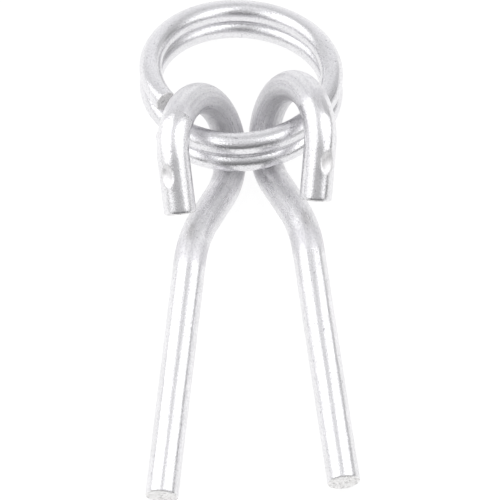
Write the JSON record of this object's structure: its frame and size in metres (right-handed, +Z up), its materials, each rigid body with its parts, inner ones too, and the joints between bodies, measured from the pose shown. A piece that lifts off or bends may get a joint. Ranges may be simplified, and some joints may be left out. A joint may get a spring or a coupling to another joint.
{
  "type": "ring disentanglement puzzle",
  "caption": "Pocket metal disentanglement puzzle: two mirrored bent-rod hooks hanging side by side on a close-wound open coil ring, laid flat.",
  "frame": {"origin": "on the surface that the puzzle lies on, under the middle of its bounding box", "axes": "+Z up from the surface, +Y from the cut ends of the straight legs towards the coil, +X to the right seen from above with the coil away from the viewer"},
  "size_m": [0.0339, 0.0871, 0.0199],
  "materials": {
    "plated_rod": "bright zinc or nickel plate on bent steel rod, satin, with fine draw lines along the rod",
    "plated_wire": "bright zinc or nickel plate on coiled steel wire, satin to glossy"
  },
  "bodies": {
    "coil": {"coil_ring": "plated_wire"},
    "hook_left": {"left_hook": "plated_rod"},
    "hook_right": {"right_hook": "plated_rod"}
  },
  "joints": [
    {"name": "left_swing", "type": "hinge", "parent": "coil", "child": "hook_left", "pos_m": [-0.0079, 0.01496, 0.00839], "axis": [-0.8746, 0.4694, -0.1214], "range_deg": [0, 75]},
    {"name": "right_swing", "type": "hinge", "parent": "coil", "child": "hook_right", "pos_m": [0.00524, 0.01477, 0.009], "axis": [-0.8988, -0.4244, 0.1098], "range_deg": [0, 75]}
  ]
}
